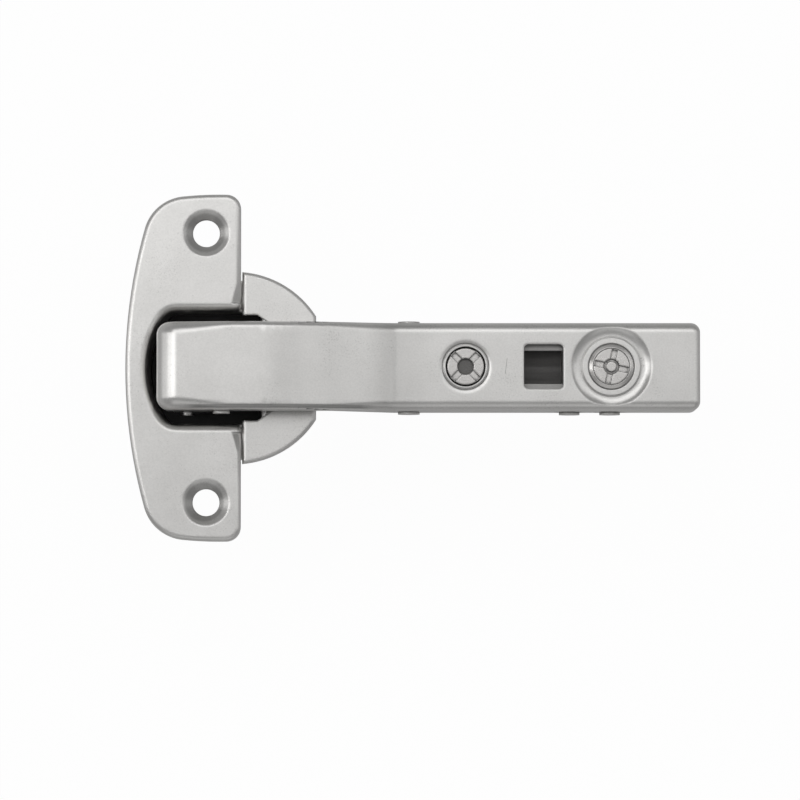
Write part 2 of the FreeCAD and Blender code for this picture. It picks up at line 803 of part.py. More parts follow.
def outer_lever():
    """Upper lever: two plates and an upper web, with the open slot on the rear arm pin."""
    start = (size("outer_cup_pin_x"), size("outer_cup_pin_z"))
    end = (size("rear_pin_x"), size("rear_pin_z"))
    half = size("outer_lever_half")
    plate_in = half - size("lever_sheet")
    run = math.hypot(end[0] - start[0], end[1] - start[1])
    ux, uz = (end[0] - start[0]) / run, (end[1] - start[1]) / run

    def local(along_bar, up):
        return (start[0] + ux * along_bar + uz * up, start[1] + uz * along_bar - ux * up)

    low, high = -size("lever_bar_low"), size("lever_bar_high")
    lever = slab([local(0, low), local(run, low), local(run, high), local(0, high)], half)
    lever = lever.fuse(cross_bore(size("lever_eye"), start[0], start[1], half))
    turn = math.radians(size("open_slot_angle"))
    along = (math.cos(turn), math.sin(turn))
    shift = (-math.sin(turn) * size("open_slot_shift"), math.cos(turn) * size("open_slot_shift"))
    reach = (-size("open_slot_low"), size("open_slot_high"))
    ends = [(end[0] + shift[0] + along[0] * part, end[1] + shift[1] + along[1] * part) for part in reach]
    wall = size("open_slot_half") + size("open_slot_wall")
    lever = lever.fuse(lever_bar(ends[0], ends[1], wall, wall, half))
    web_in = high - size("lever_sheet")
    first, last = size("lever_eye") + size("web_clear"), run - wall - size("web_clear")
    far = wall + size("open_slot_high") + size("lever_eye")
    inside = [local(-far, -far), local(run + far, -far), local(run + far, web_in), local(-far, web_in)]
    hollow = slab(inside, plate_in)
    for near, off in ((-far, first), (last, run + far)):
        beyond = [local(near, -far), local(off, -far), local(off, far), local(near, far)]
        hollow = hollow.fuse(slab(beyond, plate_in))
    lever = lever.cut(hollow)
    bore = size("cup_pin_radius") + size("running_gap")
    lever = lever.cut(cross_bore(bore, start[0], start[1], half + 1))
    slot = lever_bar(ends[0], ends[1], size("open_slot_half"), size("open_slot_half"), half + 1)
    return lever.cut(slot).removeSplitter()


store(inner_lever(), "inner_lever")
store(outer_lever(), "outer_lever")


# Carrier: channel inside the arm that clips to a mounting plate


def carrier():
    body = new_body("carrier")
    outer = "(arm_half - arm_sheet - side_gap)"
    side = new_sketch(body, "carrier_side", "XZ_Plane")
    add_polygon(side, [
        ("carrier_start", "carrier_floor"),
        ("carrier_start + carrier_foot", "carrier_floor"),
        ("carrier_start + carrier_foot + carrier_arch", "carrier_floor + carrier_arch"),
        ("rear_notch_x - carrier_arch - carrier_arch / 2", "carrier_floor + carrier_arch"),
        ("rear_notch_x - carrier_arch / 2", "carrier_floor"),
        ("carrier_end", "carrier_floor"),
        ("carrier_end", "carrier_top"),
        ("carrier_start", "carrier_top"),
    ])
    add_pad(body, "carrier_block", side, "2 * " + outer)
    inside = new_sketch(body, "carrier_inside", "XZ_Plane")
    add_polygon(inside, [
        ("carrier_start - 1", "carrier_floor - 1"),
        ("carrier_end + 1", "carrier_floor - 1"),
        ("carrier_end + 1", "carrier_top - carrier_sheet"),
        ("carrier_start - 1", "carrier_top - carrier_sheet"),
    ])
    add_pocket(body, "carrier_channel", inside, "2 * (%s - carrier_sheet)" % outer)
    marks = new_sketch(body, "carrier_openings", "XY_Plane")
    reach = "(overlay_neck + depth_travel + tilt_gap)"
    add_polygon(marks, [
        ("overlay_x - " + reach, "-carrier_slot_half"),
        ("overlay_x + " + reach, "-carrier_slot_half"),
        ("overlay_x + " + reach, "carrier_slot_half"),
        ("overlay_x - " + reach, "carrier_slot_half"),
    ])
    add_polygon(marks, [
        ("window_x - window_long / 2 - depth_travel - seat_gap", "-carrier_window_half"),
        ("window_x + window_long / 2 + depth_travel + seat_gap", "-carrier_window_half"),
        ("window_x + window_long / 2 + depth_travel + seat_gap", "carrier_window_half"),
        ("window_x - window_long / 2 - depth_travel - seat_gap", "carrier_window_half"),
    ])
    add_polygon(marks, [
        ("cam_x - cam_boss - cam_boss_gap", "-cam_boss - tilt_gap"),
        ("cam_x + cam_boss + cam_boss_gap", "-cam_boss - tilt_gap"),
        ("cam_x + cam_boss + cam_boss_gap", "cam_boss + cam_throw + tilt_gap"),
        ("cam_x - cam_boss - cam_boss_gap", "cam_boss + cam_throw + tilt_gap"),
    ])
    add_pocket(body, "carrier_top_openings", marks)
    bores = new_sketch(body, "carrier_bores", "XZ_Plane")
    add_circle(bores, "guide_x", "rear_pins_z", "guide_radius + running_gap")
    add_circle(bores, "latch_x", "rear_pins_z", "guide_radius + press_gap")
    add_pocket(body, "carrier_pin_bores", bores)
    hooks = new_sketch(body, "carrier_hooks", "XZ_Plane")
    add_circle(hooks, "hook_x", "carrier_floor + hook_radius / 2", "hook_radius")
    add_circle(hooks, "rear_notch_x + rear_notch_radius", "carrier_floor", "rear_notch_radius")
    add_pocket(body, "carrier_hook_notches", hooks)
    return body


carrier()


# Overlay screw with its pressed ring


def overlay_screw():
    """Head, wide shoulder under the ring, neck and foot."""
    body = new_body("overlay_screw", "overlay_x", "0", "arm_top - crank_drop")
    foot = "(carrier_top - carrier_sheet - arm_top + crank_drop - overlay_foot_gap)"
    add_turned(body, "overlay_turned", [
        ("0", foot + " - overlay_foot_sheet"),
        ("overlay_foot", foot + " - overlay_foot_sheet"),
        ("overlay_foot", foot),
        ("overlay_neck", foot),
        ("overlay_neck", "carrier_top - arm_top + crank_drop + overlay_flange_gap"),
        ("overlay_flange", "carrier_top - arm_top + crank_drop + overlay_flange_gap"),
        ("overlay_flange", "-arm_sheet - running_gap"),
        ("overlay_head", "-arm_sheet - running_gap"),
        ("overlay_head", "overlay_head_stand - overlay_head_bevel"),
        ("overlay_head - overlay_head_bevel", "overlay_head_stand"),
        ("0", "overlay_head_stand"),
    ])
    slot = new_sketch(body, "overlay_slot_mark", "XY_Plane", "overlay_head_stand")
    add_polygon(slot, [
        ("0", "-slot_width / 2"),
        ("slot_reach", "-slot_width / 2"),
        ("slot_reach", "slot_width / 2"),
        ("0", "slot_width / 2"),
    ])
    cut = add_pocket(body, "overlay_slot", slot, "slot_depth", midplane=False)
    pattern = body.newObject("PartDesign::PolarPattern", "overlay_slots")
    pattern.Originals = [cut]
    pattern.Axis = (slot, ["N_Axis"])
    pattern.Angle = 360.0
    pattern.Occurrences = 4
    body.Tip = pattern
    doc.recompute()
    centre = new_sketch(body, "overlay_centre_mark", "XY_Plane", "overlay_head_stand")
    add_circle(centre, "0", "0", "overlay_centre")
    add_pocket(body, "overlay_socket", centre, "overlay_centre_depth", midplane=False)
    body.Placement.Rotation = FreeCAD.Rotation(upward, 45)
    return body


def pressed_ring(name, x, inner, outer, low, high):
    body = new_body(name, x, "0", "arm_top - crank_drop")
    step = high + " - ring_groove_depth"
    add_turned(body, name + "_ring", [
        (inner, low),
        (outer, low),
        (outer, step),
        (outer + " - ring_groove", step),
        (outer + " - ring_groove", high),
        (inner, high),
    ])
    return body


overlay_screw()
pressed_ring("overlay_collar", "overlay_x", "overlay_ring_inner", "overlay_ring_outer",
             "-arm_sheet", "ring_stand")
pressed_ring("depth_collar", "cam_x", "cam_ring_inner", "cam_ring_outer",
             "-dish_depth", "-dish_depth + cam_ring_stand")


# Depth cam: cross-recess head, round shank and an eccentric boss


def depth_cam():
    body = new_body("depth_cam", "cam_x", "0", "arm_top - crank_drop")
    under = "-dish_depth - arm_sheet - cam_flange_gap"
    bottom = under + " - cam_flange_sheet"
    add_turned(body, "cam_turned", [
        ("0", bottom),
        ("cam_flange", bottom),
        ("cam_flange", under),
        ("cam_shank", under),
        ("cam_shank", "-dish_depth + cam_seat_gap"),
        ("cam_head", "-dish_depth + cam_seat_gap"),
        ("cam_head", "-cam_edge"),
        ("cam_crown + cam_groove", "cam_crown_stand"),
        ("cam_crown + cam_groove / 2", "cam_crown_stand - cam_groove_depth"),
        ("cam_crown", "cam_crown_stand"),
        ("0", "cam_crown_stand"),
    ])
    boss = new_sketch(body, "cam_boss_mark", "XY_Plane", bottom)
    add_circle(boss, "0", "cam_throw", "cam_boss")
    pin = body.newObject("PartDesign::Pad", "cam_boss_pad")
    pin.Profile = boss
    pin.Reversed = True
    tie(pin, {"Length": "arm_top - crank_drop - carrier_top + cam_boss_reach + " + bottom})
    doc.recompute()
    cross = new_sketch(body, "cam_cross_mark", "XY_Plane", "cam_crown_stand", -size("cross_turn"))
    add_polygon(cross, [
        ("(cross_hub + cross_centre) / 2", "-cross_width / 2"),
        ("cross_reach", "-cross_width / 2"),
        ("cross_reach", "cross_width / 2"),
        ("(cross_hub + cross_centre) / 2", "cross_width / 2"),
    ])
    cut = add_pocket(body, "cam_cross", cross, "cross_depth", midplane=False)
    pattern = body.newObject("PartDesign::PolarPattern", "cam_crosses")
    pattern.Originals = [cut]
    pattern.Axis = (cross, ["N_Axis"])
    pattern.Angle = 360.0
    pattern.Occurrences = 4
    body.Tip = pattern
    doc.recompute()
    centre = new_sketch(body, "cam_centre_mark", "XY_Plane", "cam_crown_stand")
    add_circle(centre, "0", "0", "cross_centre")
    add_circle(centre, "0", "0", "cross_hub")
    add_pocket(body, "cam_socket", centre, "cross_centre_depth", midplane=False)
    return body


depth_cam()


# Rear latch lever with its leaf spring


def clip_latch():
    """Front plate below the guide pin, hub on the latch pin, rear finger plate."""
    body = new_body("clip_latch")
    side = new_sketch(body, "latch_side", "XZ_Plane")
    top = "rear_pins_z + latch_sheet / 2"
    bottom = "rear_pins_z - latch_sheet / 2"
    add_polygon(side, [
        ("latch_front", top + " - latch_drop - latch_sheet"),
        ("latch_x + latch_step_front", top + " - latch_drop - latch_sheet"),
        ("latch_x + latch_hub", bottom),
        ("latch_rear - latch_sheet", bottom),
        ("latch_rear - latch_sheet", bottom + " - latch_lip"),
        ("latch_rear", bottom + " - latch_lip"),
        ("latch_rear", top),
        ("latch_x - latch_hub + latch_step_half", top),
        ("latch_x - latch_hub - latch_step_half", top + " - latch_drop"),
        ("latch_front", top + " - latch_drop"),
    ])
    add_pad(body, "latch_bar", side, "2 * latch_half")
    hub = new_sketch(body, "latch_hub_mark", "XZ_Plane")
    add_circle(hub, "latch_x", "rear_pins_z", "latch_hub")
    add_pad(body, "latch_hub_pad", hub, "2 * latch_half")
    bore = new_sketch(body, "latch_bore_mark", "XZ_Plane")
    add_circle(bore, "latch_x", "rear_pins_z", "guide_radius + running_gap")
    add_pocket(body, "latch_bore", bore)
    return body


def latch_spring():
    """Leaf fixed under the carrier web, its free end over the latch hub."""
    body = new_body("latch_spring")
    side = new_sketch(body, "latch_spring_side", "XZ_Plane")
    web = "carrier_top - carrier_sheet"
    tip = "rear_pins_z + latch_hub + seat_gap"
    add_polygon(side, [
        ("carrier_end - leaf_seat", web),
        ("carrier_end - leaf_bend", web),
        ("carrier_end - leaf_bend - leaf_drop", tip + " + spring_sheet / 2"),
        ("latch_x - 1", tip + " + spring_sheet / 2"),
        ("latch_x - 1", tip),
        ("carrier_end - leaf_bend - leaf_drop + spring_sheet / 4", tip),
        ("carrier_end - leaf_bend + spring_sheet / 4", web + " - spring_sheet / 2"),
        ("carrier_end - leaf_seat", web + " - spring_sheet / 2"),
    ])
    add_pad(body, "latch_spring_pad", side, "2 * spring_half")
    return body


clip_latch()
latch_spring()


# Closing spring and the plastic insert that seats it


def closing_spring():
    """Bent leaf on the insert, its free end under the lever cam."""
    body = new_body("closing_spring")
    floor = "(insert_height - pot_depth + pot_sheet)"
    tip = "(inner_cup_pin_z - lever_eye - seat_gap)"
    side = new_sketch(body, "spring_side", "XZ_Plane")
    add_polygon(side, [
        ("cup_offset - spring_tail", floor),
        ("inner_cup_pin_x - spring_rise", floor),
        ("inner_cup_pin_x + spring_tip", tip + " - spring_sheet"),
        ("inner_cup_pin_x + spring_tip", tip),
        ("inner_cup_pin_x - spring_rest", tip),
        ("inner_cup_pin_x - spring_rise - spring_miter", floor + " + spring_sheet"),
        ("cup_offset - spring_tail", floor + " + spring_sheet"),
    ])
    add_pad(body, "spring_pad", side, "2 * spring_half")
    return body


def cup_insert():
    """Plastic floor plate with two low guide ribs beside the spring."""
    radius = size("pot_radius") - size("pot_sheet") - size("insert_gap")
    floor = -size("pot_depth") + size("pot_sheet")
    inner_round = size("pot_bottom_round") - size("pot_sheet")
    insert = post(radius, size("cup_offset"), 0, floor, floor + size("insert_height"))
    insert = insert.makeChamfer(inner_round, [edge for edge in insert.Edges if at_height(edge, floor)])
    rib_in = size("spring_half") + size("seat_gap")
    rib_top = floor + size("insert_height") + size("lever_sheet")
    for side in (1, -1):
        low, high = sorted((side * rib_in, side * (rib_in + size("lever_sheet"))))
        rib = box((size("cup_offset") - size("trough_half"), low, floor),
                  (size("cup_offset") + size("insert_rib_reach"), high, rib_top))
        insert = insert.fuse(rib)
    return insert.removeSplitter()


closing_spring()
store(cup_insert(), "cup_insert")


doc.recompute()
for item in doc.Objects:
    if "Invalid" in item.State or "Error" in item.State:
        raise RuntimeError("failed: " + item.Label)
os.makedirs("parts", exist_ok=True)
for node in nodes:
    shape = node.Shape
    if shape.isNull() or not shape.isValid() or len(shape.Solids) < 1:
        raise RuntimeError("bad shape: " + node.Label)
    shape.exportStep("parts/%s.step" % node.Label)
    print(node.Label, len(shape.Solids), round(shape.Volume, 1))
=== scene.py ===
import bmesh
import bpy
import json
import math
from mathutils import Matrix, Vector


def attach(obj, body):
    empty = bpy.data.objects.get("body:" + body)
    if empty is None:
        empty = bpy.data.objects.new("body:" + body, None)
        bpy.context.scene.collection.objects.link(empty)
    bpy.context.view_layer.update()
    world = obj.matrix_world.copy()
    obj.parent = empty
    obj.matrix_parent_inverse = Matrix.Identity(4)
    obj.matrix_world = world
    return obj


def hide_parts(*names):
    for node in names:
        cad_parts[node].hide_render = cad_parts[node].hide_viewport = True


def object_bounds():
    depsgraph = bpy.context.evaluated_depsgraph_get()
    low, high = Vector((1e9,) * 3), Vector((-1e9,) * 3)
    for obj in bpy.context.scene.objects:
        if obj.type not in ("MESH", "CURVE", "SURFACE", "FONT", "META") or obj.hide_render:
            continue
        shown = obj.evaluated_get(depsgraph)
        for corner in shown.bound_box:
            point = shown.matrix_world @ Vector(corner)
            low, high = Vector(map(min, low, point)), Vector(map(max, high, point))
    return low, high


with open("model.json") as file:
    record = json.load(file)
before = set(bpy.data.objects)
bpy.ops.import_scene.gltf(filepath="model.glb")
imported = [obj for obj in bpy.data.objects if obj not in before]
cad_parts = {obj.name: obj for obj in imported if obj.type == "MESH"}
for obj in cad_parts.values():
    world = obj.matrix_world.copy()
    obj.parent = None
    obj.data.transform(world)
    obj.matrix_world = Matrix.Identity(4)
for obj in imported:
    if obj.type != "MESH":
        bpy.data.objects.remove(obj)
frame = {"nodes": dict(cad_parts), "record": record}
cadLow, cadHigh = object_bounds()
print("frame loaded:", len(frame["nodes"]), "nodes")

mm = 0.001
scene = bpy.context.scene
scene.view_settings.view_transform = "Standard"


# helpers for materials


def hexToLinear(text):
    # the sRGB curve turned back to linear light
    channels = [int(text[i:i + 2], 16) / 255 for i in (1, 3, 5)]
    return tuple(c / 12.92 if c <= 0.04045 else ((c + 0.055) / 1.055) ** 2.4 for c in channels) + (1.0,)


def addNode(tree, kind, settings=None, inputs=None, links=None):
    # settings go to the node, inputs to its sockets, links come from other nodes' outputs
    node = tree.nodes.new(kind)
    for key, value in (settings or {}).items():
        setattr(node, key, value)
    for key, value in (inputs or {}).items():
        node.inputs[key].default_value = value
    for key, (source, output) in (links or {}).items():
        tree.links.new(source.outputs[output], node.inputs[key])
    return node


def emptyTree(owner):
    owner.use_nodes = True
    owner.node_tree.nodes.clear()
    return owner.node_tree


def newMaterial(name, shaderInputs):
    material = bpy.data.materials.new(name)
    tree = emptyTree(material)
    shader = addNode(tree, "ShaderNodeBsdfPrincipled", inputs=shaderInputs)
    addNode(tree, "ShaderNodeOutputMaterial", links={"Surface": (shader, "BSDF")})
    place = addNode(tree, "ShaderNodeTexCoord")
    return material, tree, shader, place


def perMetre(millimetres):
    # a noise texture of scale 1 repeats about once a metre
    return 1.0 / (millimetres * mm)


def maths(tree, operation, *terms):
    # each term is a number or an output socket
    node = addNode(tree, "ShaderNodeMath", {"operation": operation})
    for socket, term in zip(node.inputs, terms):
        if isinstance(term, (int, float)):
            socket.default_value = term
        else:
            tree.links.new(term, socket)
    return node.outputs[0]


def faded(tree, reading, start, stop, first, last):
    # a smooth step from one shade to another between two readings
    node = addNode(tree, "ShaderNodeMapRange", {"interpolation_type": "SMOOTHSTEP"},
                   {"From Min": start, "From Max": stop, "To Min": first, "To Max": last})
    tree.links.new(reading, node.inputs["Value"])
    return node.outputs["Result"]


def noise(tree, place, size, detail, output="Object"):
    node = addNode(tree, "ShaderNodeTexNoise", inputs={"Scale": perMetre(size), "Detail": detail},
                   links={"Vector": (place, output)})
    return node.outputs["Fac"]


def twoTone(tree, share, look):
    # a colour between the look's deep and pale one
    tint = addNode(tree, "ShaderNodeMix", {"data_type": "RGBA"},
                   {"A": hexToLinear(look["deep"]), "B": hexToLinear(look["pale"])})
    tree.links.new(share, tint.inputs["Factor"])
    return tint


# plated steel

satinNickel = {
    "deep": "#CAC9C7", "pale": "#DDDCDA", "smooth": 0.29, "rough": 0.32,
    # sizes of the patterns in mm; real satin grain is finer, and this one is coarse enough to show
    "cloud": 9.0, "grain": 0.35, "rolling": 0.9, "relief": 0.03,
    "cloudDetail": 3.0, "grainDetail": 5.0, "rollingDetail": 4.0, "stretch": (0.06, 1.0, 1.0), "bump": 0.12,
    # how dark specks, streaks and the painted shade in nooks get, and the readings between which they fade
    "speckLow": 0.93, "streakLow": 0.99, "paintedNookShadeLow": 0.35,
    "shadeFrom": 0.3, "shadeTo": 0.7, "paintedNookShadeFrom": 0.25, "paintedNookShadeTo": 0.85, "roughFrom": 0.25, "roughTo": 0.75,
    # worn edge radius and the reach of the painted nook shade in mm
    "edge": 0.6, "paintedNookShade": 0.9, "samples": 6,
}


def platedSteel(name, look, marks=()):
    # rolled steel sheet or turned steel: soft sheen, cloudy grain, faint rolling streaks, worn edges, and
    # painted shade in nooks and corners
    material, tree, shader, place = newMaterial(name, {"Metallic": 1.0})
    grain = noise(tree, place, look["grain"], look["grainDetail"])
    stretch = addNode(tree, "ShaderNodeMapping", inputs={"Scale": look["stretch"]},
                      links={"Vector": (place, "Object")})
    rolled = noise(tree, stretch, look["rolling"], look["rollingDetail"], "Vector")
    tint = twoTone(tree, noise(tree, place, look["cloud"], look["cloudDetail"]), look)
    specks = faded(tree, grain, look["shadeFrom"], look["shadeTo"], look["speckLow"], 1.0)
    streaks = faded(tree, rolled, look["shadeFrom"], look["shadeTo"], look["streakLow"], 1.0)
    # painted shade: an occlusion reading darkens the colour in nooks, corners and recesses
    paintedNookShade = addNode(tree, "ShaderNodeAmbientOcclusion", {"samples": look["samples"]},
                   {"Distance": look["paintedNookShade"] * mm})
    nookPaintedShade = faded(tree, paintedNookShade.outputs["AO"], look["paintedNookShadeFrom"], look["paintedNookShadeTo"], look["paintedNookShadeLow"], 1.0)
    shade = maths(tree, "MULTIPLY", maths(tree, "MULTIPLY", specks, streaks), nookPaintedShade)
    for mark in marks:
        shade = maths(tree, "MULTIPLY", shade, mark(tree, place))
    colour = addNode(tree, "ShaderNodeVectorMath", {"operation": "SCALE"}, links={"Vector": (tint, "Result")})
    tree.links.new(shade, colour.inputs["Scale"])
    tree.links.new(colour.outputs["Vector"], shader.inputs["Base Color"])
    roughness = faded(tree, rolled, look["roughFrom"], look["roughTo"], look["smooth"], look["rough"])
    tree.links.new(roughness, shader.inputs["Roughness"])
    worn = addNode(tree, "ShaderNodeBevel", {"samples": look["samples"]}, {"Radius": look["edge"] * mm})
    bump = addNode(tree, "ShaderNodeBump", inputs={"Strength": look["bump"], "Distance": look["relief"] * mm},
                   links={"Normal": (worn, "Normal")})
    tree.links.new(grain, bump.inputs["Height"])
    tree.links.new(bump.outputs["Normal"], shader.inputs["Normal"])
    return material


# marks on the steel, each a shade from dark to 1; all places and sizes are in mm


def planOf(tree, place):
    axes = addNode(tree, "ShaderNodeSeparateXYZ", links={"Vector": (place, "Object")})
    return axes.outputs["X"], axes.outputs["Y"]


def apart(tree, reading, value):
    return maths(tree, "ABSOLUTE", maths(tree, "SUBTRACT", reading, value))


def awayFrom(tree, place, spot):
    x, y = planOf(tree, place)
    run = maths(tree, "SUBTRACT", x, spot[0] * mm)
    rise = maths(tree, "SUBTRACT", y, spot[1] * mm)
    squares = maths(tree, "ADD", maths(tree, "MULTIPLY", run, run), maths(tree, "MULTIPLY", rise, rise))
    return maths(tree, "SQRT", squares)


pits = {"size": 0.30, "patch": 7.0, "detail": 2.0, "share": 0.45, "from": 0.83, "to": 0.97, "dark": 0.86}


def darkPits(tree, place):
    # fine dark pits that gather in patches
    patch = maths(tree, "MULTIPLY", noise(tree, place, pits["patch"], pits["detail"]), pits["share"])
    both = maths(tree, "ADD", noise(tree, place, pits["size"], pits["detail"]), patch)
    return faded(tree, both, pits["from"], pits["to"], 1.0, pits["dark"])


# painted shade on the arm's crank; places and widths in mm
paintedCrankShading = {
    "start": 30.0, "crank": 36.0, "clear": 47.0, "dark": 0.88,
    "crease": 35.2, "core": 0.5, "reach": 2.4, "line": 0.97,
}


def paintedCrankShade(tree, place):
    # painted shade: the sheet is drawn darker on the crank's slope and along its crease, and back to its own
    # tone towards the overlay screw
    x, y = planOf(tree, place)
    before = faded(tree, x, paintedCrankShading["start"] * mm, paintedCrankShading["crank"] * mm, 1.0, paintedCrankShading["dark"])
    after = faded(tree, x, paintedCrankShading["crank"] * mm, paintedCrankShading["clear"] * mm, 1.0, 1.0 / paintedCrankShading["dark"])
    away = apart(tree, x, paintedCrankShading["crease"] * mm)
    line = faded(tree, away, paintedCrankShading["core"] * mm, paintedCrankShading["reach"] * mm, paintedCrankShading["line"], 1.0)
    return maths(tree, "MULTIPLY", maths(tree, "MULTIPLY", before, after), line)


# a painted shade line along the arm's lower roll; places and widths in mm
paintedRollLine = {
    "y": -7.8, "core": 0.2, "half": 0.5, "dark": 0.52,
    "start": -6.0, "full": 3.0, "fade": 24.0, "stop": 35.0,
}


def paintedRollShade(tree, place):
    # painted shade: the long lower edge is drawn darker along its roll between the nose and the crank
    x, y = planOf(tree, place)
    away = apart(tree, y, paintedRollLine["y"] * mm)
    line = faded(tree, away, paintedRollLine["core"] * mm, paintedRollLine["half"] * mm, paintedRollLine["dark"], 1.0)
    begin = faded(tree, x, paintedRollLine["start"] * mm, paintedRollLine["full"] * mm, 1.0, 0.0)
    end = faded(tree, x, paintedRollLine["fade"] * mm, paintedRollLine["stop"] * mm, 0.0, 1.0)
    return maths(tree, "MAXIMUM", line, maths(tree, "MAXIMUM", begin, end))


scratch = {
    "x": 57.8, "y": 0.1, "lean": 0.12, "core": 0.03, "wide": 0.09, "fade": 1.12, "half": 1.6, "dark": 0.55,
}


def scratchMark(tree, place):
    # one thin upright scratch between the overlay screw and the window
    x, y = planOf(tree, place)
    along = maths(tree, "SUBTRACT", y, scratch["y"] * mm)
    across = maths(tree, "SUBTRACT", maths(tree, "SUBTRACT", x, scratch["x"] * mm),
                   maths(tree, "MULTIPLY", along, scratch["lean"]))
    line = faded(tree, maths(tree, "ABSOLUTE", across), scratch["core"] * mm, scratch["wide"] * mm,
                 scratch["dark"], 1.0)
    ends = faded(tree, maths(tree, "ABSOLUTE", along), scratch["fade"] * mm, scratch["half"] * mm, 0.0, 1.0)
    return maths(tree, "MAXIMUM", line, ends)


scuff = {
    "spot": (83.2, 0.7), "fade": 0.9, "reach": 1.5, "size": 0.9, "detail": 2.0,
    # the line runs where the noise passes its middle, and is as wide as these readings
    "middle": 0.5, "core": 0.009, "thin": 0.018, "dark": 0.55,
}


def scuffMark(tree, place):
    # a little scribble of fine lines beside the depth cam's ring
    bend = apart(tree, noise(tree, place, scuff["size"], scuff["detail"]), scuff["middle"])
    line = faded(tree, bend, scuff["core"], scuff["thin"], scuff["dark"], 1.0)
    away = awayFrom(tree, place, scuff["spot"])
    around = faded(tree, away, scuff["fade"] * mm, scuff["reach"] * mm, 0.0, 1.0)
    return maths(tree, "MAXIMUM", line, around)


# the soft rim of the painted recess shade
paintedRecessRim = {"from": 0.9, "to": 1.05}  # the shade's soft rim, in shares of its radius


def paintedRecessShade(spot, radius, dark):
    # painted shade: a countersink or a driver recess is drawn darker than the flat round it
    def shade(tree, place):
        away = awayFrom(tree, place, spot)
        return faded(tree, away, paintedRecessRim["from"] * radius * mm, paintedRecessRim["to"] * radius * mm, dark, 1.0)
    return shade


# the finishes; satin nickel is a pale, slightly warm grey with a broad sheen

# painted shade in the cup's two countersinks and in the overlay screw's driver recess
upperCountersinkShade = paintedRecessShade((-0.1, 26.1), 3.85, 0.66)
lowerCountersinkShade = paintedRecessShade((-0.3, -25.9), 3.85, 0.66)
overlayRecessShade = paintedRecessShade((50.0, 0.0), 1.6, 0.22)

nickelPlatedSteel = platedSteel("satinNickelPlatedSteel", satinNickel, (darkPits,))
cupNickel = platedSteel("satinNickelPlatedCupSteel", dict(satinNickel, paintedNookShade=0.6, paintedNookShadeLow=0.75),
                        (darkPits, upperCountersinkShade, lowerCountersinkShade))
armNickel = platedSteel("satinNickelPlatedArmSteel", satinNickel,
                        (darkPits, paintedCrankShade, paintedRollShade, scratchMark, scuffMark))
ringNickel = platedSteel("nickelPlatedRingSteel", dict(satinNickel, edge=0.25))

# cold-headed screws shine more than the sheet, and strong painted shade keeps their slots dark
headLook = dict(satinNickel, smooth=0.22, rough=0.32, deep="#C0BEBC", pale="#D4D2D0", edge=0.3, paintedNookShade=0.7,
                paintedNookShadeLow=0.12)
overlayNickel = platedSteel("nickelPlatedScrewSteel", headLook, (overlayRecessShade,))
camNickel = platedSteel("nickelPlatedCamSteel", headLook)

# the hidden pieces: zinc is a duller grey, the strip is polished, phosphate is matt and dark
zincPlate = platedSteel("zincPlatedSteel", dict(satinNickel, deep="#908F8E", pale="#A6A5A3", smooth=0.30,
                                                rough=0.45, edge=0.2))
springStrip = platedSteel("springSteelStrip", dict(satinNickel, deep="#777776", pale="#8C8C8A", smooth=0.22,
                                                   rough=0.34, edge=0.1))
darkSteel = platedSteel("phosphatedSteel", dict(satinNickel, deep="#5C5B5A", pale="#6C6B6A", smooth=0.45,
                                                rough=0.60, edge=0.2))

acetal = {
    "deep": "#0C0C0C", "pale": "#141414", "rough": 0.55, "ior": 1.48,
    "skin": 0.4, "relief": 0.02, "detail": 3.0, "bump": 0.2,  # skin and relief in mm
}


def mouldedPlastic(name, look):
    # acetal moulding: dull black with a fine spark-eroded skin
    material, tree, shader, place = newMaterial(name, {"Metallic": 0.0, "IOR": look["ior"],
                                                       "Roughness": look["rough"]})
    skin = noise(tree, place, look["skin"], look["detail"])
    tree.links.new(twoTone(tree, skin, look).outputs["Result"], shader.inputs["Base Color"])
    bump = addNode(tree, "ShaderNodeBump", inputs={"Strength": look["bump"], "Distance": look["relief"] * mm})
    tree.links.new(skin, bump.inputs["Height"])
    tree.links.new(bump.outputs["Normal"], shader.inputs["Normal"])
    return material


blackAcetal = mouldedPlastic("blackAcetalMoulding", acetal)
print("materials ready")


# CAD nodes, merged and smoothed

bodyOf = {node: body for body, members in frame["record"]["behaviour"]["bodies"].items() for node in members}

# angles in degrees, merge and collapse in mm, speck in square mm
shading = {"sharpAngle": 30.0, "flatAngle": 0.3, "merge": 0.002, "collapse": 0.0005, "speck": 0.0005}


def gatherFlats(form):
    # neighbouring faces of one plane, with the area they have together
    flatOf, flats = {}, []
    limit = math.cos(math.radians(shading["flatAngle"]))
    for seed in form.faces:
        if seed.index in flatOf:
            continue
        flatOf[seed.index] = len(flats)
        area, reached = 0.0, [seed]
        while reached:
            face = reached.pop()
            area += face.calc_area()
            for edge in face.edges:
                for other in edge.link_faces:
                    if other.index not in flatOf and other.normal.dot(seed.normal) > limit:
                        flatOf[other.index] = len(flats)
                        reached.append(other)
        flats.append((area, seed.normal.copy()))
    return flatOf, flats


